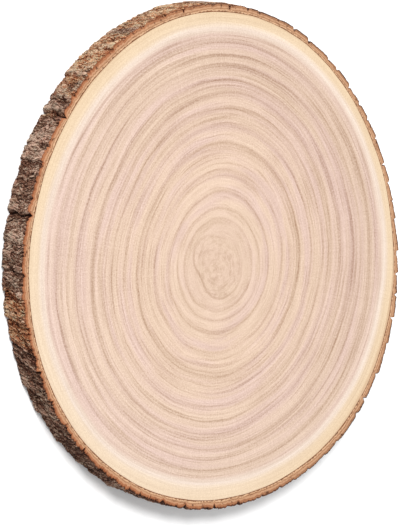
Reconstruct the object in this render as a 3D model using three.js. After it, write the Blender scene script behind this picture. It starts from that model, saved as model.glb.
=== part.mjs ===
// A wood slice: one disc sawn straight across a trunk, with its bark left on.
// Millimetres, +Z up. The slice lies on its lower sawn face, which is at z = 0, and the middle of
// its outline is on the Z axis. Wood and bark are one grown piece, so they are one solid.

import * as THREE from "three";

// Driving dimensions
const WOOD_RADIUS = 145; // mean radius of the wood inside the bark
const THICKNESS = 20; // from one sawn face to the other
const BARK_DEPTH = 5.1; // mean depth of the bark outside the wood
const PLATE_COUNT = 62; // ridges of bark around the trunk, with a furrow between neighbours
const FURROW_DEPTH = 1.7; // the deepest furrows, below the ridges beside them
const PLATE_RISE = 0.5; // how far a whole ridge stands above or below the mean bark
const ROUGHNESS = 0.35; // unevenness along a ridge
const SLANT = 0.3; // sideways run of the furrows for each millimetre of height
const LEVELS = 5; // heights at which the bark's outline is shaped, both sawn faces included

// How far the trunk is from round: lobes of the wood's outline, as shares of its radius, and of the
// bark's depth, as shares of that depth. A lobe's peak is an angle in degrees from +X towards +Y.
const WOOD_LOBES = [
  { order: 2, swell: 0.037, peak: 125.5 },
  { order: 3, swell: 0.0113, peak: 90.3 },
  { order: 4, swell: 0.0016, peak: 53.2 },
  { order: 5, swell: 0.0017, peak: 38.4 },
];
const BARK_LOBES = [
  { order: 1, swell: 0.144, peak: 310 },
  { order: 2, swell: 0.154, peak: 113.5 },
];

// Across a ridge, from the furrow before it: how far along its width a line of points stands, and
// how much of the furrow's depth is left there.
const RIDGE_SECTION = [
  { along: 0, sunk: 1 },
  { along: 0.11, sunk: 0.4 },
  { along: 0.35, sunk: 0 },
  { along: 0.66, sunk: 0.05 },
  { along: 0.89, sunk: 0.35 },
];

// Salts that keep the random values of each feature apart
const SALT = { position: 1, depth: 2, rise: 3, rough: 10 };

const FULL_TURN = 2 * Math.PI;

// A repeatable value from 0 to 1 for each pair of whole numbers
function chance(n, salt) {
  const s = Math.sin(n * 12.9898 + salt * 78.233) * 43758.5453;
  return s - Math.floor(s);
}

// The same value, from -1 to 1
function swing(n, salt) {
  return 2 * chance(n, salt) - 1;
}

// The factor by which lobes widen or narrow something at an angle
function lobed(lobes, angle) {
  return lobes.reduce(
    (sum, { order, swell, peak }) =>
      sum + swell * Math.cos(order * (angle - THREE.MathUtils.degToRad(peak))),
    1,
  );
}

// The angle of the furrow before a ridge: evenly shared out, then moved by up to 0.3 of a ridge
function furrowAngle(plate) {
  return ((plate + 0.3 * swing(plate % PLATE_COUNT, SALT.position)) * FULL_TURN) / PLATE_COUNT;
}

// Furrows lean to one side over some stretches of the trunk and to the other over the rest
function lean(angle, height) {
  const side = Math.sin(2 * angle + 0.7) + 0.5 * Math.sin(5 * angle + 2.1);
  return (SLANT * side * (height - THICKNESS / 2)) / WOOD_RADIUS;
}

// Every upright line of points around the bark: its angle, its furrow's depth and its ridge's rise
function barkLines() {
  const lines = [];
  for (let plate = 0; plate < PLATE_COUNT; plate++) {
    const start = furrowAngle(plate);
    const width = furrowAngle(plate + 1) - start;
    RIDGE_SECTION.forEach(({ along, sunk }, step) => {
      const furrow = along < 0.5 ? plate : (plate + 1) % PLATE_COUNT;
      const depth = FURROW_DEPTH * (0.4 + 0.6 * chance(furrow, SALT.depth));
      const rise = PLATE_RISE * swing(plate, SALT.rise);
      const line = plate * RIDGE_SECTION.length + step;
      lines.push({ line, angle: start + along * width, relief: rise - sunk * depth });
    });
  }
  return lines;
}

// The slice's outer surface at one line and height
function barkPoint({ line, angle, relief }, level) {
  const height = (THICKNESS * level) / (LEVELS - 1);
  const wood = WOOD_RADIUS * lobed(WOOD_LOBES, angle);
  const bark = BARK_DEPTH * lobed(BARK_LOBES, angle);
  const rough = ROUGHNESS * swing(line, SALT.rough + level);
  const radius = wood + bark + relief + rough;
  const turned = angle + lean(angle, height);
  return new THREE.Vector3(radius * Math.cos(turned), radius * Math.sin(turned), height);
}

// A lathed disc gives the closed body: its profile runs out along the lower face, up the bark and
// back along the upper face. Each point of the bark is then moved to where the tree grew it.
function sliceGeometry() {
  const lines = barkLines();
  const profile = [new THREE.Vector2(0, 0)];
  for (let level = 0; level < LEVELS; level++) {
    profile.push(new THREE.Vector2(WOOD_RADIUS, (THICKNESS * level) / (LEVELS - 1)));
  }
  profile.push(new THREE.Vector2(0, THICKNESS));

  const geometry = new THREE.LatheGeometry(profile, lines.length);
  const position = geometry.getAttribute("position");
  for (let turn = 0; turn <= lines.length; turn++) {
    const line = lines[turn % lines.length];
    const first = turn * profile.length;
    position.setXYZ(first, 0, 0, 0);
    for (let level = 0; level < LEVELS; level++) {
      position.setXYZ(first + 1 + level, ...barkPoint(line, level));
    }
    position.setXYZ(first + 1 + LEVELS, 0, 0, THICKNESS);
  }

  // The middle of the grown outline goes on the Z axis
  geometry.computeBoundingBox();
  const middle = geometry.boundingBox.getCenter(new THREE.Vector3());
  geometry.translate(-middle.x, -middle.y, 0);
  geometry.computeVertexNormals();
  return geometry;
}

const wood = new THREE.MeshStandardMaterial({ color: 0xeccfb6, roughness: 0.75, metalness: 0 });

const slice = new THREE.Mesh(sliceGeometry(), wood);
slice.name = "wood_slice";

const part = new THREE.Group();
part.add(slice);

export default part;
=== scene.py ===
import math

import bpy
import numpy as np
from mathutils import Matrix, Vector


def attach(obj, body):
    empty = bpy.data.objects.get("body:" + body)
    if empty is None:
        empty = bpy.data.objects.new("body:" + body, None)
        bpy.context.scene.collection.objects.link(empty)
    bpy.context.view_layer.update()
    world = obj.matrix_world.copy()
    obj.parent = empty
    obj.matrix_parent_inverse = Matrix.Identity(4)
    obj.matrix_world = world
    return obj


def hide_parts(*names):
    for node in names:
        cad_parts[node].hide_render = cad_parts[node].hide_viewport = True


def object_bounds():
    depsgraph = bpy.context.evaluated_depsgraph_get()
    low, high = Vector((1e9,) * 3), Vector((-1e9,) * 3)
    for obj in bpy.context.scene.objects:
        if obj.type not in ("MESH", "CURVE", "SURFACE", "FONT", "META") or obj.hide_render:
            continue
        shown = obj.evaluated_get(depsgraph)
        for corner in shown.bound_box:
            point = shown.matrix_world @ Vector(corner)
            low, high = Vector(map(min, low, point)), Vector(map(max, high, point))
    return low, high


# A wood slice that lies on its lower sawn face: one closed mesh, with real bark relief on its rim
# and growth rings on both sawn faces. It is shaped in millimetres round the trunk's own axis, then
# moved to where the frame holds the slice. Angles run from +X towards +Y.

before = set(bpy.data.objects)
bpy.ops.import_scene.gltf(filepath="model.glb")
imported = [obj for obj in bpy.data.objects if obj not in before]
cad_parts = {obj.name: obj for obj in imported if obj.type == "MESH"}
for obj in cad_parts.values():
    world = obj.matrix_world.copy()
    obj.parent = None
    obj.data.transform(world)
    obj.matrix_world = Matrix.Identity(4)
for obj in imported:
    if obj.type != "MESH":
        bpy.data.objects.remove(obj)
cad_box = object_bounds()

MM = 0.001
FULL_TURN = 2 * math.pi
NODE = "wood_slice"
BODY = "root"

# ---------------------------------------------------------------- the trunk, as the frame has it
WOOD_RADIUS = 145.0  # mean radius of the wood inside the bark
THICKNESS = (cad_box[1].z - cad_box[0].z) / MM
BARK_DEPTH = 5.1  # before its own lobes
PLATES = 62  # plates of bark around the trunk, with a furrow between each two
FURROW_STRAY = 0.3  # how far a furrow strays from even spacing, as a share of it
PLATE_RISE = 0.5  # how far a whole plate may stand out or lie back
PLATE_LIP = 0.55  # how far the end of a plate nearer -Y stands out, and its other end lies back
LIP_SHARES = (0.3, 1.4)  # the least lip of a plate, and how much more the greatest one has
SLANT = 0.3  # how much the furrows lean: mm around for each mm up
FURROW_CUTS = (0.2, 3.0)  # the shallowest furrow, and how much deeper the deepest one goes
FURROW_REACH = (0.9, 1.1)  # the narrowest furrow's half width, and how much more the widest has
SMOOTH_SIDE = 15  # the angle where the bark is smoothest; it is roughest on the other side
LEAST_ROUGH = 0.22  # how much of the full relief the smoothest bark has
FULLNESS = (-0.55, 1.25)  # how far the bark stands out, and how much more where it is rough
STROKES = 470  # fine ridges around the trunk, on the plates
# How deep each mark on the plates is where the bark is roughest
FLAKE_STEP, FLAKE_EDGE, LONG_CRACK, SHORT_CRACK, STROKE_HEIGHT = 0.8, 0.35, 0.8, 0.35, 0.28
SHOULDER = (0.75, 2.2)  # how far the saw has torn the bark back at a face, and from how far down
CHIPS = (0.12, 0.7)  # how far the bark's rim is worn down all round, and how much more in a chip
RIM_CRUMBLE = 0.35  # how much of that the row next to the rim has lost too
CAMBIUM_GROOVE = 0.05  # the bark has shrunk a little from the wood
GIRTH_RADIUS = WOOD_RADIUS + BARK_DEPTH
GIRTH = FULL_TURN * GIRTH_RADIUS

# Lobes that take the trunk out of round: how many, how far as a share, and one lobe's angle
WOOD_LOBES = ((2, 0.037, 125.5), (3, 0.0113, 90.3), (4, 0.0016, 53.2), (5, 0.0017, 38.4))
BARK_LOBES = ((1, 0.144, 310), (2, 0.154, 113.5))
# Where the wood's edge lies against its lobes: how far out all round, and how far towards an angle
EDGE_OUT = 0.05
EDGE_SHIFT, EDGE_SHIFT_WAY = 0.45, 322

PITH = (-3.8, -2.9)  # the rings' centre, from the trunk's axis

# ---------------------------------------------------------------- how finely the mesh is made
COLUMNS = 1920  # points around the bark, halved again and again towards the middle of a face
SIDE_ROWS = 34
CUT_ROWS = (0.0, 0.06, 0.12, 0.28, 0.46, 0.64, 0.82)  # across the bark's sawn edge, wood to rim
NOISE_ROWS = 64  # cells of a noise along the trunk, more than the slice is thick
FACE_RINGS = (0.994, 0.98, 0.94, 0.84, 0.62, 0.34, 0.14)  # rings of points on the wood's face
SIDE_START = len(CUT_ROWS) * COLUMNS  # the faces of the bark's side, in the mesh's list of faces
SIDE_END = SIDE_START + SIDE_ROWS * COLUMNS
# The UV map: a disc's middle (both ways) and radius, then the strips, three along each free edge
TOP_DISC, BOTTOM_DISC = (0.355, 0.35), (0.769, 0.225)
STRIPS = 6
STRIP_START, STRIP_LENGTH = 0.005, 0.525
STRIP_BASE, STRIP_WIDTH = 0.715, 0.28 / 3
STRIP_MARGIN = 0.03  # on each side of a strip, as a share of its width


def smooth(x):
    """An S-shaped step from 0 to 1."""
    x = np.clip(x, 0, 1)
    return x * x * (3 - 2 * x)


def facing(angle, degrees):
    """How much an angle faces a direction: 1 towards it, and -1 on the other side."""
    return np.cos(angle - math.radians(degrees))


def lobed(lobes, angle):
    """The factor by which lobes widen or narrow something at an angle."""
    waves = (swell * np.cos(order * (angle - math.radians(peak))) for order, swell, peak in lobes)
    return 1 + sum(waves)


def chance(n, salt):
    """A repeatable value from 0 to 1 for each whole number: the frame's bark uses the same ones."""
    s = np.sin(n * 12.9898 + salt * 78.233) * 43758.5453
    return s - np.floor(s)


def noise(around, up, width, length, seed):
    """Smooth noise from -1 to 1 over the unrolled bark, in lumps of that width and length."""
    columns = round(GIRTH / width)
    turn = np.random.default_rng(seed).uniform(0, FULL_TURN, (columns, NOISE_ROWS))
    x = around / GIRTH * columns
    y = up / length + NOISE_ROWS / 2
    x0, y0 = np.floor(x).astype(int), np.floor(y).astype(int)
    fx, fy = x - x0, y - y0

    def corner(dx, dy):
        a = turn[(x0 + dx) % columns, (y0 + dy) % NOISE_ROWS]
        return np.cos(a) * (fx - dx) + np.sin(a) * (fy - dy)

    sx, sy = smooth(fx), smooth(fy)
    low = corner(0, 0) * (1 - sx) + corner(1, 0) * sx
    high = corner(0, 1) * (1 - sx) + corner(1, 1) * sx
    return 1.5 * (low * (1 - sy) + high * sy)


def scales(around, up, width, length, seed):
    """Bark scales: the value from 0 to 1 of the scale at each point, and the room to its edge."""
    columns = round(GIRTH / width)
    seeds = np.random.default_rng(seed).uniform(0, 1, (columns, NOISE_ROWS, 3))
    x = around / GIRTH * columns
    y = up / length + NOISE_ROWS / 2
    nearest = np.full(x.shape, np.inf)
    second = np.full(x.shape, np.inf)
    value = np.zeros(x.shape)
    for dx in (-1, 0, 1):
        for dy in (-1, 0, 1):
            cx, cy = np.floor(x).astype(int) + dx, np.floor(y).astype(int) + dy
            cell = seeds[cx % columns, cy % NOISE_ROWS]
            gap = np.hypot(cx + cell[..., 0] - x, cy + cell[..., 1] - y)
            closer = gap < nearest
            second = np.where(closer, nearest, np.minimum(second, gap))
            value = np.where(closer, cell[..., 2], value)
            nearest = np.minimum(nearest, gap)
    return value, second - nearest


def furrow_angle(plate):
    """The angle of the furrow where a plate starts."""
    return (plate + FURROW_STRAY * (2 * chance(plate % PLATES, 1) - 1)) * FULL_TURN / PLATES


def grown_around(angle, height):
    """How far around the unrolled trunk a point lies, once the bark's lean and wander are undone."""
    side = np.sin(2 * angle + 0.7) + 0.5 * np.sin(5 * angle + 2.1)
    around = angle * GIRTH_RADIUS - SLANT * side * (height - THICKNESS / 2)
    return around + 1.5 * noise(around, height, 30, 11, 11) + 0.7 * noise(around, height, 8, 5, 12)


def strokes(around, up):
    """Fine ridges along the trunk that waver, run together and fade out, from -1 to 1."""
    wander = 1.1 * noise(around, up, 9, 7, 61) + 0.5 * noise(around, up, 4, 3.5, 62)
    strength = np.clip(0.65 + 0.6 * noise(around, up, 6, 5, 63), 0, 1)
    return strength * np.cos(FULL_TURN * (around / GIRTH * STROKES + wander))


def plate_relief(angle, around, rough):
    """How far the plates stand out, less the furrows between them, and each point's plate."""
    edges = furrow_angle(np.arange(-1, PLATES + 2)) * GIRTH_RADIUS
    before = np.searchsorted(edges, around, side="right") - 1
    plate = before - 1
    start, end = edges[before], edges[before + 1]
    along = (around - start) / (end - start)

    def furrow(number, gap):
        depth = FURROW_CUTS[0] + FURROW_CUTS[1] * chance(number % PLATES, 2) ** 2
        reach = FURROW_REACH[0] + FURROW_REACH[1] * chance(number % PLATES, 5)
        return depth * np.clip(1 - gap / reach, 0, 1)

    rise = PLATE_RISE * (2 * chance(plate % PLATES, 3) - 1)
    lip = PLATE_LIP * (LIP_SHARES[0] + LIP_SHARES[1] * chance(plate % PLATES, 9))
    lip = lip * (1 - 2 * along) * np.cos(angle)
    fullness = FULLNESS[0] + FULLNESS[1] * rough
    furrows = furrow(plate, around - start) + furrow(plate + 1, end - around)
    return rise + lip + fullness - furrows, plate


def bark_relief(angle, height):
    """How far the bark stands out from its mean depth, its tone from 0 to 1, and its strokes."""
    around = grown_around(angle, height)
    rough = LEAST_ROUGH + (1 - LEAST_ROUGH) * smooth(0.6 - 0.9 * facing(angle, SMOOTH_SIDE))
    relief, plate = plate_relief(angle, around, rough)
    long_crack = np.clip(1 - np.abs(noise(around, height, 4.2, 12, 21)) / 0.16, 0, 1)
    short_crack = np.clip(1 - np.abs(noise(around, height, 2.2, 5, 22)) / 0.2, 0, 1)
    value, room = scales(around, height, 4.6, 6.0, 31)
    flake = FLAKE_STEP * (value - 0.5) - FLAKE_EDGE * np.clip(1 - room / 0.2, 0, 1)
    cracks = LONG_CRACK * long_crack + SHORT_CRACK * short_crack
    fine = strokes(around, height)
    from_face = np.minimum(height, THICKNESS - height)
    torn = SHOULDER[0] * np.clip(1 - from_face / SHOULDER[1], 0, 1) ** 2
    relief = relief + rough * (flake - cracks + STROKE_HEIGHT * fine - torn)
    tone = 0.65 * value + 0.35 * chance(plate % PLATES, 7)
    return relief, tone, fine


def wood_edge(angle):
    """The wood's radius under the bark: the trunk's lobes, and a little wander of its own."""
    around = angle * GIRTH_RADIUS
    wander = 0.45 * noise(around, 0 * around, 38, 1, 71) + 0.2 * noise(around, 0 * around, 12, 1, 72)
    shift = EDGE_OUT + EDGE_SHIFT * facing(angle, EDGE_SHIFT_WAY)
    return WOOD_RADIUS * lobed(WOOD_LOBES, angle) + shift + wander


def rim_chips(angle, seed):
    """How far crumbs of bark are missing below a sawn face's rim, in mm."""
    around = angle * GIRTH_RADIUS
    rough = noise(around, 0 * around, 5, 1, seed) + 0.6 * noise(around, 0 * around, 1.8, 1, seed + 1)
    return CHIPS[0] + CHIPS[1] * np.clip(rough, 0, 1)


def bark_belt():
    """The bark's points: rows from the wood's edge over the rim, down the side and back in below."""
    angle = np.arange(COLUMNS) * FULL_TURN / COLUMNS
    wood = wood_edge(angle)
    mean_surface = WOOD_RADIUS * lobed(WOOD_LOBES, angle) + BARK_DEPTH * lobed(BARK_LOBES, angle)
    top_chips, bottom_chips = rim_chips(angle, 51), rim_chips(angle, 53)
    steps = np.linspace(0, 1, SIDE_ROWS + 1)
    heights = [THICKNESS - top_chips - s * (THICKNESS - top_chips - bottom_chips) for s in steps]
    side = []
    for height in heights:
        marks = bark_relief(angle, height)
        side.append((height, mean_surface + marks[0], 1.0, marks))  # 1.0: at the rim

    def sawn_edge(rim_row, face, chips, down):
        cut = []
        for share in CUT_ROWS:
            groove = CAMBIUM_GROOVE if share == CUT_ROWS[1] else 0.0
            crumbled = RIM_CRUMBLE * chips if share == CUT_ROWS[-1] else 0 * chips
            radius = wood + share * (rim_row[1] - wood)
            cut.append((face + down * (groove + crumbled), radius, share, rim_row[3]))
        return cut

    top = sawn_edge(side[0], THICKNESS, top_chips, -1)
    bottom = sawn_edge(side[-1], 0, bottom_chips, 1)
    return angle, top + side + bottom[::-1]


def lay_out(mesh, points):
    """Gives the mesh its UV map: a disc for each sawn face, and the bark's side in six strips."""
    corners = np.empty(len(mesh.loops), np.int32)
    mesh.loops.foreach_get("vertex_index", corners)
    reach = np.hypot(points[:, 0], points[:, 1]).max()
    place = points[corners]
    upper = place[:, 2:] > THICKNESS * MM / 2
    disc = np.where(upper, TOP_DISC, BOTTOM_DISC)
    uv = disc[:, :1] + disc[:, 1:] * place[:, :2] / reach

    row, column = np.divmod(np.arange(SIDE_START, SIDE_END), COLUMNS)
    down = (np.stack([row, row + 1, row + 1, row], 1) - len(CUT_ROWS)) / SIDE_ROWS
    strip, along = np.divmod(column, COLUMNS // STRIPS)
    along = np.stack([along, along, along + 1, along + 1], 1) / (COLUMNS // STRIPS)
    strip = strip[:, None]
    long = STRIP_START + STRIP_LENGTH * along
    across = STRIP_MARGIN + (1 - 2 * STRIP_MARGIN) * down
    wide = STRIP_BASE + STRIP_WIDTH * (strip % (STRIPS // 2) + across)
    in_first_half = strip < STRIPS // 2
    side = np.stack([np.where(in_first_half, long, wide), np.where(in_first_half, wide, long)], 2)
    uv[4 * SIDE_START:4 * SIDE_END] = side.reshape(-1, 2)
    mesh.uv_layers.new(name="OFBake").data.foreach_set("uv", uv.astype(np.float32).ravel())


def at(radius, angle, height):
    """Points at a distance from the trunk's axis, at an angle round it."""
    height = np.broadcast_to(height, radius.shape)
    return np.stack([radius * np.cos(angle), radius * np.sin(angle), height], 1)


def sawn_face(angle, rim, height, count):
    """A sawn face of wood inside a rim of points: its own points, numbered from count, and faces."""
    points, faces = [], []
    outer = rim
    for share in FACE_RINGS:
        angle = angle[::2]
        points.append(at(wood_edge(angle) * share, angle, height))
        inner = count + np.arange(len(angle))
        count += len(angle)
        inner_next = np.roll(inner, -1)
        here, half, there = outer[::2], outer[1::2], np.roll(outer[::2], -1)
        for three in ((inner, here, half), (inner, half, inner_next), (inner_next, half, there)):
            faces.append(np.stack(three, 1))
        outer = inner
    points.append(np.array([[0.0, 0.0, height]]))
    faces.append(np.stack((np.full(len(outer), count), outer, np.roll(outer, -1)), 1))
    return np.concatenate(points), np.concatenate(faces)


def shaped_slice():
    """Builds the mesh: the belt of bark, and a sawn face of wood above and below it.

    Each point knows what its bark is like, how far out in the bark's sawn edge it lies, and its
    place with the bark's lean undone. Gives the mesh, and the trunk's axis in the frame.
    """
    angle, belt = bark_belt()
    points, depth, grain, marks = [], [], [], ([], [], [])
    for height, radius, share, own in belt:
        points.append(at(radius, angle, height))
        for values, value in zip(marks, own):
            values.append(value)
        depth.append(np.full(angle.shape, share))
        grain.append(at(radius, grown_around(angle, height) / GIRTH_RADIUS, height))
    points = np.concatenate(points)
    low, high = points.min(0), points.max(0)
    middle = np.array([(low[0] + high[0]) / 2, (low[1] + high[1]) / 2, 0])

    column = np.arange(COLUMNS)
    after = (column + 1) % COLUMNS
    faces = []
    for row in range(len(belt) - 1):
        a, b = row * COLUMNS, (row + 1) * COLUMNS
        faces += np.stack([a + column, b + column, b + after, a + after], 1).tolist()
    bark_faces = len(faces)

    lowest_row = (len(belt) - 1) * COLUMNS
    upper, upper_faces = sawn_face(angle, column, THICKNESS, len(points))
    lower, lower_faces = sawn_face(angle, lowest_row + column, 0.0, len(points) + len(upper))
    faces += upper_faces.tolist() + lower_faces[:, ::-1].tolist()
    wood = np.concatenate([upper, lower])
    points = (np.concatenate([points, wood]) - middle) * MM

    mesh = bpy.data.meshes.new("slice")
    mesh.from_pydata(points.tolist(), [], faces)
    names = ("bark_relief", "bark_tone", "bark_stroke", "bark_depth")
    for name, values in zip(names, (*marks, depth)):
        values = np.concatenate(values + [np.zeros(len(wood))]).astype(np.float32)
        mesh.attributes.new(name, "FLOAT", "POINT").data.foreach_set("value", values)
    grain = (np.concatenate(grain + [wood]) * MM).astype(np.float32)
    mesh.attributes.new("grain", "FLOAT_VECTOR", "POINT").data.foreach_set("vector", grain.ravel())
    face = np.arange(len(faces))
    is_side = (face >= SIDE_START) & (face < SIDE_END)
    is_bark = face < bark_faces
    material = np.where(is_side, 1, np.where(is_bark, 2, 0))
    mesh.polygons.foreach_set("material_index", material.astype(np.int32))
    mesh.polygons.foreach_set("use_smooth", is_bark)
    lay_out(mesh, points)
    mesh.update()
    return mesh, Vector(-middle * MM)


class Shader:
    """A material's nodes, made one call at a time."""

    def __init__(self, name):
        self.material = bpy.data.materials.new(name)
        self.material.use_nodes = True
        self.tree = self.material.node_tree
        self.tree.nodes.clear()

    def node(self, kind, inputs=(), **settings):
        node = self.tree.nodes.new(kind)
        for key, value in settings.items():
            setattr(node, key, value)
        for key, value in dict(inputs).items():
            self.feed(node.inputs[key], value)
        return node

    def feed(self, socket, value):
        if isinstance(value, bpy.types.NodeSocket):
            self.tree.links.new(value, socket)
        else:
            socket.default_value = value

    def math(self, operation, *values):
        inputs = dict(enumerate(values))
        return self.node("ShaderNodeMath", inputs, operation=operation).outputs[0]

    def vector(self, x, y, z):
        return self.node("ShaderNodeCombineXYZ", {"X": x, "Y": y, "Z": z}).outputs[0]

    def noise(self, place, scale, detail=2.0, roughness=0.5, w=0.0):
        """Noise from 0 to 1, 0.5 on average. Another w gives another pattern."""
        inputs = {"Vector": place, "W": w, "Scale": scale, "Detail": detail, "Roughness": roughness}
        return self.node("ShaderNodeTexNoise", inputs, noise_dimensions="4D").outputs["Fac"]

    def swing(self, value, amount, start=0.0):
        """A noise's swing about its mean, times an amount, added to something."""
        return self.math("MULTIPLY_ADD", self.math("SUBTRACT", value, 0.5), amount, start)

    def heading(self, x, y):
        """The angle round the trunk, and its cosine and sine."""
        angle = self.math("ARCTAN2", y, x)
        return angle, self.math("COSINE", angle), self.math("SINE", angle)

    def facing(self, angle, degrees):
        """How much an angle faces a direction: 1 towards it, and -1 on the other side."""
        return self.math("COSINE", self.math("SUBTRACT", angle, math.radians(degrees)))

    def drawn_out(self, way, distance, spread, length, detail=2.0, roughness=0.55):
        """Noise drawn out around the trunk: how often it changes on the way, and its size across."""
        east, north = (self.math("MULTIPLY", part, spread) for part in way)
        return self.noise(self.vector(east, north, self.math("MULTIPLY", distance, 1 / length)),
                          1.0, detail, roughness)

    def span(self, value, low, high, to_low=0.0, to_high=1.0, kind="SMOOTHSTEP"):
        """Takes a value's way from low to high to a way of its own, and stops at both ends."""
        inputs = {"Value": value, "From Min": low, "From Max": high,
                  "To Min": to_low, "To Max": to_high}
        return self.node("ShaderNodeMapRange", inputs, interpolation_type=kind).outputs["Result"]

    def thin_lines(self, value, reach):
        """Thin lines: 1 where a noise crosses its mean, down to 0 a little way off."""
        off = self.math("ABSOLUTE", self.math("SUBTRACT", value, 0.5))
        return self.span(off, reach, 0.0)

    def ramp(self, value, stops, interpolation="LINEAR"):
        node = self.node("ShaderNodeValToRGB", {"Fac": value})
        ramp = node.color_ramp
        ramp.interpolation = interpolation
        while len(ramp.elements) < len(stops):
            ramp.elements.new(0.5)
        for element, (place, colour) in zip(ramp.elements, stops):
            element.position = place
            element.color = colour
        return node.outputs["Color"]

    def tones(self, value, stops):
        """A ramp of colours, each given as it looks on a screen."""
        return self.ramp(value, [(place, srgb(*colour)) for place, colour in stops])

    def greys(self, value, stops, interpolation="LINEAR"):
        """A ramp of numbers from 0 to 1."""
        return self.ramp(value, [(place, grey(level)) for place, level in stops], interpolation)

    def mix(self, share, a, b, blend="MIX"):
        node = self.node("ShaderNodeMix", {"Factor": share}, data_type="RGBA", blend_type=blend)
        colour_sockets = [s for s in node.inputs if s.type == "RGBA"]
        self.feed(colour_sockets[0], a)
        self.feed(colour_sockets[1], b)
        return [s for s in node.outputs if s.type == "RGBA"][0]

    def attribute(self, name, output="Fac"):
        return self.node("ShaderNodeAttribute", attribute_name=name).outputs[output]

    def finish(self, colour, roughness, specular, bumps=()):
        """Ends in a Principled surface. Each bump is a height from 0 to 1 and its depth in metres."""
        normal = None
        for height, depth in bumps:
            inputs = {"Height": height, "Distance": depth, "Strength": 1.0}
            if normal:
                inputs["Normal"] = normal
            normal = self.node("ShaderNodeBump", inputs).outputs["Normal"]
        inputs = {"Base Color": colour, "Roughness": roughness, "Specular IOR Level": specular}
        if normal:
            inputs["Normal"] = normal
        surface = self.node("ShaderNodeBsdfPrincipled", inputs).outputs[0]
        self.node("ShaderNodeOutputMaterial", {"Surface": surface})
        return self.material


def srgb(red, green, blue):
    """A colour given as it looks on a screen, 0 to 255, in the linear values that shaders use."""
    def linear(c):
        c /= 255
        return c / 12.92 if c <= 0.04045 else ((c + 0.055) / 1.055) ** 2.4
    return (linear(red), linear(green), linear(blue), 1.0)


def grey(value):
    """A grey in linear values."""
    return (value, value, value, 1.0)


# ---------------------------------------------------------------- the wood's sawn faces
WORLD_LIGHT = 0.7  # what each gives a level white surface
KEY_LIGHT = 0.9
LIGHT = 1 / (WORLD_LIGHT + KEY_LIGHT)  # takes a colour as it looks in that light to its own

# Growth years: how far out each one ends, as a share of the way from pith to bark, and how dark
# the line is that ends it
YEARS = ((0.19, 0.75), (0.227, 0.8), (0.28, 0.85), (0.359, 0.6), (0.458, 0.9), (0.527, 0.65),
         (0.594, 0.75), (0.644, 0.7), (0.701, 0.85), (0.773, 0.75), (0.815, 0.6), (0.869, 0.8))
# How dark a line is from the start of a year to its end, where it is sharpest
LINE_SHAPE = ((0.0, 0.95), (0.05, 0.5), (0.11, 0.15), (0.2, 0.0),
              (0.55, 0.0), (0.78, 0.22), (0.91, 0.5), (1.0, 1.0))
# The rings' own lobes, in shares of the way out, and how strongly each distance out has them
RING_LOBES = ((1, 0.0105, 77), (2, 0.027, 70), (4, 0.005, 6))
RING_LOBES_AT = ((0.0, 0.0), (0.2, 0.1), (0.34, 0.6), (0.55, 0.95),
                 (0.68, 1.15), (0.82, 0.6), (0.93, 0.25), (1.0, 0.0))
RING_LOBES_MOST = 1.2
PITH_RADIUS = 0.125
PITH_LOBES = ((2, 0.19, 133), (3, 0.05, 20))
HEART_LOBES = ((1, 0.008, 38), (2, 0.008, 35))  # how much further out the heartwood reaches
HEART_EDGE = 0.912
# Angles where the heartwood is darkest, where a line marks its edge best, and where the sapwood is
# palest and the pith's outline is darkest
DARK_WAY, EDGE_LINE_WAY, PALE_WAY = 55, 125, 235
# How the wood looks from the pith out: tan heartwood, a pinkish white band, cream sapwood
ZONES = ((0.0, (241, 210, 186)), (0.11, (241, 210, 187)), (0.16, (249, 219, 196)),
         (0.42, (246, 215, 191)), (0.6, (241, 210, 188)), (0.86, (239, 209, 189)),
         (0.912, (241, 212, 194)), (0.927, (248, 225, 206)), (0.938, (254, 233, 216)),
         (0.948, (252, 229, 206)), (0.962, (249, 222, 189)), (0.995, (248, 219, 182)),
         (1.0, (232, 197, 160)))
PINK, GOLDEN, PALE = (240, 208, 196), (240, 211, 184), (254, 231, 207)
# How much each kind of mark darkens the wood
HAIR_DARK, BAND_DARK, FINE_DARK, PORE_DARK, RAY_DARK = 0.95, 1.5, 4.0, 4.6, 0.9
LINE_DARK, SIDE_DARK, PITH_DARK = 1.6, 0.28, 1.2
DARKENING = (-0.155, -0.19, -0.215)  # what one step of dark takes from red, green and blue


def lobe_nodes(s, lobes, angle, start=1.0):
    """The same sum of lobes as lobed(), in nodes."""
    total = start
    for order, swell, peak in lobes:
        turned = s.math("MULTIPLY_ADD", angle, order, -math.radians(order * peak))
        total = s.math("MULTIPLY_ADD", s.math("COSINE", turned), swell, total)
    return total


def ring_place(s, place, way, angle, out):
    """How far out a point's ring lies: lobes of the rings' own, a slow wander and a fine fray."""
    lobes_here = s.greys(out, [(p, v / RING_LOBES_MOST) for p, v in RING_LOBES_AT], "EASE")
    lobes_here = s.math("MULTIPLY", lobes_here, RING_LOBES_MOST)
    shift = s.math("MULTIPLY", lobe_nodes(s, RING_LOBES, angle, 0.0), lobes_here)
    ring = s.math("SUBTRACT", out, shift)
    wander = s.swing(s.drawn_out(way, ring, 2.4, 0.48), 0.022)
    ring = s.math("MULTIPLY_ADD", wander, s.span(out, 0.05, 0.6, 0.3, 1.0), ring)
    return s.swing(s.noise(place, 420, 2), 0.0035, ring)


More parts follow.
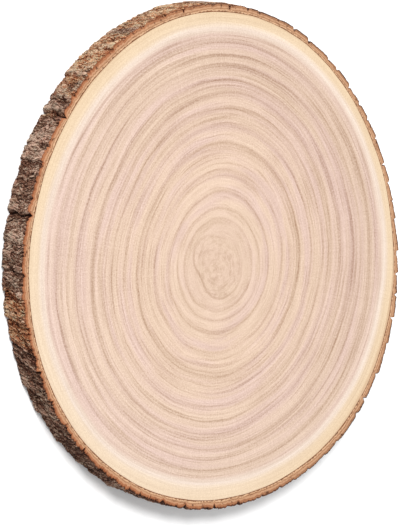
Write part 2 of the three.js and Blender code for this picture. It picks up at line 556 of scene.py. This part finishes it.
def ring_lines(s, place, way, ring):
    """The dark lines that end the growth years, each with its own weight, uneven on their way."""
    year = s.node("ShaderNodeFloatCurve", {"Value": ring})
    curve = year.mapping.curves[0]
    years = len(YEARS) + 2
    marks = [(0.0, 0.0)] + [(p, n / years) for n, (p, _) in enumerate(YEARS, 1)]
    marks.append((1.0, (years - 1) / years))
    while len(curve.points) < len(marks):
        curve.points.new(0.5, 0.5)
    for point, mark in zip(curve.points, marks):
        point.location = mark
        point.handle_type = "VECTOR"
    year.mapping.update()

    count = s.math("MULTIPLY", year.outputs[0], years)
    line = s.greys(s.math("FRACT", count), LINE_SHAPE)
    nearest = s.math("ROUND", count)
    weights = [(0.0, 0.0)] + [((n - 0.5) / years, w) for n, (_, w) in enumerate(YEARS, 1)]
    weights.append(((years - 1.5) / years, 0.0))
    weight = s.greys(s.math("DIVIDE", nearest, years), weights, "CONSTANT")
    fade = s.span(s.drawn_out(way, nearest, 2.2, 0.27), 0.32, 0.68, 0.65, 1.2, "LINEAR")
    broken = s.span(s.noise(place, 800, 1), 0.35, 0.6, 0.7, 1.25, "LINEAR")
    line = s.math("MULTIPLY", s.math("MULTIPLY", line, weight), fade)
    return s.math("MULTIPLY", line, broken)


def zone_place(s, way, angle, out):
    """How far out a point lies among the wood's zones, whose edges waver and fray."""
    reach = s.math("MULTIPLY", lobe_nodes(s, HEART_LOBES, angle, 0.0), s.span(out, 1.0, 0.955))
    zone = s.math("SUBTRACT", out, reach)
    zone = s.swing(s.drawn_out(way, zone, 1.8, 0.3), 0.03, zone)
    return s.swing(s.drawn_out(way, zone, 3.5, 0.009, 3, 0.6), 0.02, zone)


def wood_colour(s, way, angle, ring, zone, in_heart):
    """Colour from the pith out, with pinker and more golden bands in the heartwood."""
    bands = s.drawn_out(way, ring, 0.9, 0.06)
    pink = s.math("MULTIPLY", s.span(bands, 0.46, 0.66, 0.0, 0.7), in_heart)
    pink = s.math("MULTIPLY", pink, s.span(ring, 0.12, 0.3))
    golden = s.math("MULTIPLY", s.span(bands, 0.54, 0.36, 0.0, 0.45), in_heart)
    pale_side = s.span(s.facing(angle, PALE_WAY), 0.2, 0.95, 0.0, 0.45)
    pale = s.math("MULTIPLY", pale_side, s.span(zone, 0.94, 0.96))
    colour = s.tones(zone, ZONES)
    for share, tint in ((pink, PINK), (golden, GOLDEN), (pale, PALE)):
        colour = s.mix(share, colour, srgb(*tint))
    return colour


def heart_line(s, way, angle, zone):
    """A dark line on stretches of the heartwood's edge, strongest on one side."""
    from_edge = s.math("SUBTRACT", zone, HEART_EDGE)
    line = s.math("MULTIPLY", s.span(from_edge, -0.012, -0.004), s.span(from_edge, 0.003, -0.002))
    line = s.math("MULTIPLY", line, s.span(s.noise(s.vector(*way, 0.0), 2.0), 0.35, 0.65))
    stronger = s.math("MULTIPLY", line, s.span(s.facing(angle, EDGE_LINE_WAY), 0.2, 0.9))
    return s.math("MULTIPLY_ADD", line, 0.7, stronger)


def pith_marks(s, place, angle, radius):
    """The pith: a slightly darker, mottled patch with an uneven outline."""
    edge = s.math("MULTIPLY", lobe_nodes(s, PITH_LOBES, angle), PITH_RADIUS * WOOD_RADIUS)
    edge = s.swing(s.noise(place, 70, 3), 4.5, edge)
    from_edge = s.math("SUBTRACT", radius, edge)
    outline = s.math("SUBTRACT", 1.0, s.span(s.math("ABSOLUTE", from_edge), 0.2, 1.3))
    outline = s.math("MULTIPLY", outline, s.span(s.facing(angle, PALE_WAY), -0.7, 0.9, 0.25, 1.0))
    mottle = s.span(s.noise(place, 260, 3, 0.65), 0.4, 0.66, -0.1, 0.75)
    patch = s.math("MULTIPLY", s.span(from_edge, 0.5, -1.5), mottle)
    return s.math("MULTIPLY_ADD", outline, PITH_DARK, patch)


def end_grain(trunk_axis):
    """The sawn wood: coloured zones from the pith out, ring lines, hair lines, rays and pores."""
    s = Shader("end_grain")
    pith = (trunk_axis.x + PITH[0] * MM, trunk_axis.y + PITH[1] * MM)
    place = s.node("ShaderNodeTexCoord").outputs["Object"]
    split = s.node("ShaderNodeSeparateXYZ", {0: place})
    x = s.math("MULTIPLY", s.math("SUBTRACT", split.outputs[0], pith[0]), 1 / MM)
    y = s.math("MULTIPLY", s.math("SUBTRACT", split.outputs[1], pith[1]), 1 / MM)
    radius = s.math("SQRT", s.math("MULTIPLY_ADD", x, x, s.math("MULTIPLY", y, y)))
    angle, *way = s.heading(x, y)

    # How far out a point is, as a share of the way from the pith to the bark on its side
    outline = s.math("MULTIPLY", lobe_nodes(s, WOOD_LOBES, angle), WOOD_RADIUS)
    for part, offset in zip(way, PITH):
        outline = s.math("MULTIPLY_ADD", part, -offset, outline)
    out = s.math("DIVIDE", radius, outline)
    ring = ring_place(s, place, way, angle, out)
    zone = zone_place(s, way, angle, out)
    in_heart = s.span(zone, 0.895, 0.935, 1.0, 0.0)

    # Light and dark: hair lines and bands along the rings, rays across them, and pores
    hairs = s.math("MULTIPLY", s.span(s.drawn_out(way, ring, 1.5, 0.0105), 0.52, 0.62), in_heart)
    broken = s.span(s.noise(place, 800, 1, w=3.0), 0.35, 0.6, 0.5, 1.3, "LINEAR")
    bands = s.drawn_out(way, ring, 0.7, 0.024)
    fine = s.drawn_out(way, ring, 2.5, 0.0058, 3, 0.7)
    pores = s.noise(place, 1150, 2, 0.65)
    rays = s.drawn_out(way, out, 75, 1 / 9, 2, 0.5)
    dark = s.math("MULTIPLY", s.math("MULTIPLY", hairs, broken), HAIR_DARK)
    marks = ((bands, BAND_DARK), (fine, FINE_DARK), (pores, PORE_DARK), (rays, RAY_DARK))
    for mark, strength in marks:
        dark = s.swing(mark, strength, dark)
    amount = s.math("MULTIPLY_ADD", in_heart, 0.3, 0.7)
    amount = s.math("MULTIPLY", amount, s.span(ring, 0.12, 0.55, 0.5, 1.0))
    lines = s.math("MULTIPLY", ring_lines(s, place, way, ring), LINE_DARK)
    dark = s.math("MULTIPLY_ADD", dark, amount, lines)
    dark = s.math("ADD", dark, heart_line(s, way, angle, zone))
    dark_side = s.math("MULTIPLY", s.facing(angle, DARK_WAY), SIDE_DARK)
    dark_side = s.math("MULTIPLY", dark_side, s.span(zone, 0.3, 0.75))
    dark = s.math("MULTIPLY_ADD", dark_side, in_heart, dark)
    dark = s.math("ADD", dark, pith_marks(s, place, angle, radius))

    inputs = {0: s.vector(dark, dark, dark), 1: DARKENING, 2: (1.0, 1.0, 1.0)}
    shade = s.node("ShaderNodeVectorMath", inputs, operation="MULTIPLY_ADD").outputs[0]
    colour = s.mix(1.0, wood_colour(s, way, angle, ring, zone, in_heart), shade, "MULTIPLY")
    colour = s.mix(1.0, colour, grey(LIGHT), "MULTIPLY")
    return s.finish(colour, 0.62, 0.25, ((fine, 0.00008), (pores, 0.00006)))


# ---------------------------------------------------------------- the bark, side and sawn edge
# Where the bark has flaked to a redder layer: the angle of each side, and how far it spreads
REDDENED = ((116, 24), (191, 6))
RED_PATCHES = (-0.13, 2.0)  # how red the bark is on average elsewhere, and how patchy
PAINTED_LIT_SIDE = (118, 0.18)  # painted light: the side where the bark is painted lightest, as if the light falls most on it, and how much
SHADED = -0.036  # painted shade: how much darker the bark is painted on the other side
DARKEST, LIGHTEST = -3.2, 2.5  # the depth of the darkest furrow and the height of the lightest ridge; between them the bark goes from dark to light, partly its own colour and partly painted shade in the furrows
# How much lighter each kind of mark makes the bark
STROKE_TONE, SCRATCH_TONE, FIBRE_TONE, GRIT_TONE, FLAKE_TONE = 0.2, -0.34, 0.34, 1.6, 0.36
BARK_LIGHT = 0.87
BARK_TONES = ((0.0, (36, 11, 5)), (0.2, (62, 30, 18)), (0.38, (91, 54, 39)),
              (0.52, (120, 82, 65)), (0.66, (150, 112, 94)), (0.8, (182, 147, 128)),
              (1.0, (230, 200, 182)))
RED_TONES = ((0.0, (46, 12, 3)), (0.2, (90, 40, 18)), (0.38, (142, 78, 46)),
             (0.52, (184, 115, 76)), (0.66, (212, 150, 110)), (0.8, (231, 185, 147)),
             (1.0, (250, 222, 188)))
HUES = ((0.36, (246, 252, 244)), (0.64, (255, 238, 230)))  # a slight change of hue from spot to spot
# The bark's sawn edge, from the wood out, and the colours of what lies in it
EDGE_TONES = ((0.0, (168, 118, 82)), (0.06, (172, 122, 86)), (0.12, (240, 196, 157)),
              (0.26, (232, 184, 145)), (0.34, (168, 116, 80)), (0.42, (216, 166, 128)),
              (0.58, (222, 174, 137)), (0.68, (172, 120, 86)), (0.8, (196, 146, 110)),
              (0.88, (132, 92, 70)), (1.0, (78, 56, 46)))
LINE_BROWN, SPECK_BROWN, LAYER_BROWN = (140, 88, 56), (112, 72, 50), (116, 70, 46)
ORANGE, RIFT_BROWN = (196, 112, 66), (84, 48, 32)


def bark():
    """The bark's side: dark in its furrows and light on its ridges (partly its own colour, partly
    painted shade), redder and paler in places.
    """
    s = Shader("bark")
    place = s.node("ShaderNodeTexCoord").outputs["Object"]
    grain = s.attribute("grain", "Vector")
    split = s.node("ShaderNodeSeparateXYZ", {0: grain})
    angle = s.math("ARCTAN2", split.outputs[1], split.outputs[0])
    along = s.node("ShaderNodeMapping", {"Vector": grain, "Scale": (1, 1, 0.25)}).outputs[0]

    scratches = s.thin_lines(s.noise(along, 430, 2, 0.6), 0.06)
    fibres = s.thin_lines(s.noise(along, 520, 2, 0.6, w=7.0), 0.05)
    grit = s.noise(place, 1500, 2, 0.7)
    strokes = s.attribute("bark_stroke")
    # Darker in the furrows and lighter on the ridges and fine strokes: partly the bark's own colour,
    # partly painted shade
    light = s.span(s.attribute("bark_relief"), DARKEST, LIGHTEST, 0.0, 1.0, "LINEAR")
    marks = ((strokes, STROKE_TONE), (scratches, SCRATCH_TONE), (fibres, FIBRE_TONE))
    for mark, strength in marks:
        light = s.math("MULTIPLY_ADD", mark, strength, light)
    light = s.swing(grit, GRIT_TONE, light)
    light = s.swing(s.attribute("bark_tone"), FLAKE_TONE, light)
    # Painted light and shade: the bark is painted lighter on one side and darker on the other, as the
    # light falls
    painted_side_light = s.span(s.facing(angle, PAINTED_LIT_SIDE[0]), 0.0, 1.0, SHADED, PAINTED_LIT_SIDE[1])
    light = s.math("ADD", light, painted_side_light)

    patches = s.swing(s.noise(along, 70, 3, 0.6), RED_PATCHES[1], RED_PATCHES[0])
    for side, spread in REDDENED:
        start, end = math.cos(math.radians(1.5 * spread)), math.cos(math.radians(0.7 * spread))
        patches = s.math("ADD", patches, s.span(s.facing(angle, side), start, end, 0.0, 0.5))
    red = s.span(patches, 0.08, 0.5)
    colour = s.mix(red, s.tones(light, BARK_TONES), s.tones(light, RED_TONES))
    hue = s.tones(s.noise(grain, 260, 2, 0.6, w=5.0), HUES)
    colour = s.mix(1.0, colour, hue, "MULTIPLY")
    colour = s.mix(1.0, colour, grey(BARK_LIGHT * LIGHT), "MULTIPLY")
    return s.finish(colour, 0.9, 0.1, ((scratches, -0.0005), (fibres, 0.0004), (grit, 0.0004)))


def sawn_bark():
    """Across the bark's sawn edge: a dark line by the wood, tan inner bark, then red-brown bark."""
    s = Shader("sawn_bark")
    place = s.node("ShaderNodeTexCoord").outputs["Object"]
    split = s.node("ShaderNodeSeparateXYZ", {0: place})
    angle, *way = s.heading(split.outputs[0], split.outputs[1])
    depth = s.attribute("bark_depth")
    crumbs = s.noise(place, 1000, 2)
    layers = s.drawn_out(way, depth, 30, 0.3, 3, 0.65)
    across = s.swing(s.drawn_out(way, depth, 11, 1.2, 2), 0.4, depth)
    across = s.swing(layers, 0.15, across)
    across = s.swing(crumbs, 0.2, across)

    line = s.span(s.swing(s.noise(place, 620, 1), 0.5, depth), 0.16, 0.07)
    line = s.math("MULTIPLY", line, 0.85)
    specks = s.span(s.noise(place, 640, 1), 0.54, 0.62)
    specks = s.math("MULTIPLY", specks, s.span(depth, 0.4, 0.1, 0.0, 0.7))
    dark_layers = s.span(layers, 0.55, 0.68, 0.0, 0.5)
    dark_layers = s.math("MULTIPLY", dark_layers, s.span(depth, 0.1, 0.3))
    orange = s.span(s.facing(angle, SMOOTH_SIDE), 0.5, -0.6, 0.0, 0.45)
    orange = s.math("MULTIPLY", orange, s.span(depth, 0.35, 0.8))
    rifts = s.span(s.noise(place, 420, 2), 0.6, 0.68)
    rifts = s.math("MULTIPLY", rifts, s.span(depth, 0.3, 0.6, 0.0, 0.8))
    marks = ((line, LINE_BROWN), (specks, SPECK_BROWN), (dark_layers, LAYER_BROWN),
             (orange, ORANGE), (rifts, RIFT_BROWN))
    colour = s.tones(across, EDGE_TONES)
    for share, tint in marks:
        colour = s.mix(share, colour, srgb(*tint))
    colour = s.mix(1.0, colour, grey(LIGHT), "MULTIPLY")
    return s.finish(colour, 0.85, 0.1, ((crumbs, 0.0002), (layers, 0.0003)))


def make_slice():
    """Makes the slice's one piece, and gives the trunk's axis in the frame."""
    mesh, trunk_axis = shaped_slice()
    piece = bpy.data.objects.new("bark_edged_slice", mesh)
    bpy.context.scene.collection.objects.link(piece)
    for material in (end_grain(trunk_axis), bark(), sawn_bark()):
        mesh.materials.append(material)
    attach(piece, BODY)
    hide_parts(NODE)
    return trunk_axis


# ---------------------------------------------------------------- floor, light and camera
FLOOR_HALF = 4.0
KEY_PLACE = (-2.4, 3.0, 4.2)  # the lamp's middle; it is a disc that faces the slice
KEY_SIZE = 2.2


def make_floor():
    mesh = bpy.data.meshes.new("floor")
    corners = [(x * FLOOR_HALF, y * FLOOR_HALF, 0) for x, y in ((-1, -1), (1, -1), (1, 1), (-1, 1))]
    mesh.from_pydata(corners, [], [(0, 1, 2, 3)])
    floor = bpy.data.objects.new("floor", mesh)
    bpy.context.scene.collection.objects.link(floor)
    s = Shader("pale_floor")
    mesh.materials.append(s.finish(srgb(248, 248, 248), 0.9, 0.3))


def make_key_light():
    place = Vector(KEY_PLACE)
    on_level = place.z / place.length
    lamp = bpy.data.lights.new("key", "AREA")
    lamp.shape = "DISK"
    lamp.size = KEY_SIZE
    lamp.energy = KEY_LIGHT * math.pi ** 2 * place.length_squared / on_level
    holder = bpy.data.objects.new("key", lamp)
    holder.location = place
    holder.rotation_euler = (-place).to_track_quat("-Z", "Y").to_euler()
    bpy.context.scene.collection.objects.link(holder)


def make_world():
    world = bpy.data.worlds.new("studio")
    world.use_nodes = True
    background = world.node_tree.nodes["Background"]
    background.inputs["Color"].default_value = grey(1.0)
    background.inputs["Strength"].default_value = WORLD_LIGHT
    bpy.context.scene.world = world
    bpy.context.scene.view_settings.view_transform = "Standard"


# The camera looks down on the slice from the -X side, at a slant to its sawn face, with the slice
# turned a little in the picture and +Y upwards
CAMERA_TILT = math.radians(41.5)  # off square to the face
CAMERA_ROLL = math.radians(-10.56)
CAMERA_DISTANCE = 10 * WOOD_RADIUS * MM
LENS = 166.2
AIM_OFFSET = (-13.55 * MM, -0.92 * MM)  # right and up, in the picture's plane


def make_camera(trunk_axis):
    middle = trunk_axis + Vector((0, 0, THICKNESS * MM))
    away = Vector((-math.sin(CAMERA_TILT), 0, math.cos(CAMERA_TILT)))
    right = Vector((math.cos(CAMERA_TILT), 0, math.sin(CAMERA_TILT)))
    turn = Matrix.Rotation(CAMERA_ROLL, 3, "Z")
    away, right, up = turn @ away, turn @ right, turn @ Vector((0, 1, 0))
    roll = Matrix.Rotation(-CAMERA_ROLL, 3, away)
    right, up = roll @ right, roll @ up
    aim = middle + AIM_OFFSET[0] * right + AIM_OFFSET[1] * up
    camera = bpy.data.objects.new("camera", bpy.data.cameras.new("camera"))
    camera.data.lens = LENS
    place = middle + CAMERA_DISTANCE * away
    back = (place - aim).normalized()
    side = up.cross(back).normalized()
    axes = Matrix((side, back.cross(side), back)).transposed()
    camera.matrix_world = Matrix.Translation(place) @ axes.to_4x4()
    bpy.context.scene.collection.objects.link(camera)
    bpy.context.scene.camera = camera


trunk_axis = make_slice()
make_floor()
make_world()
make_key_light()
make_camera(trunk_axis)
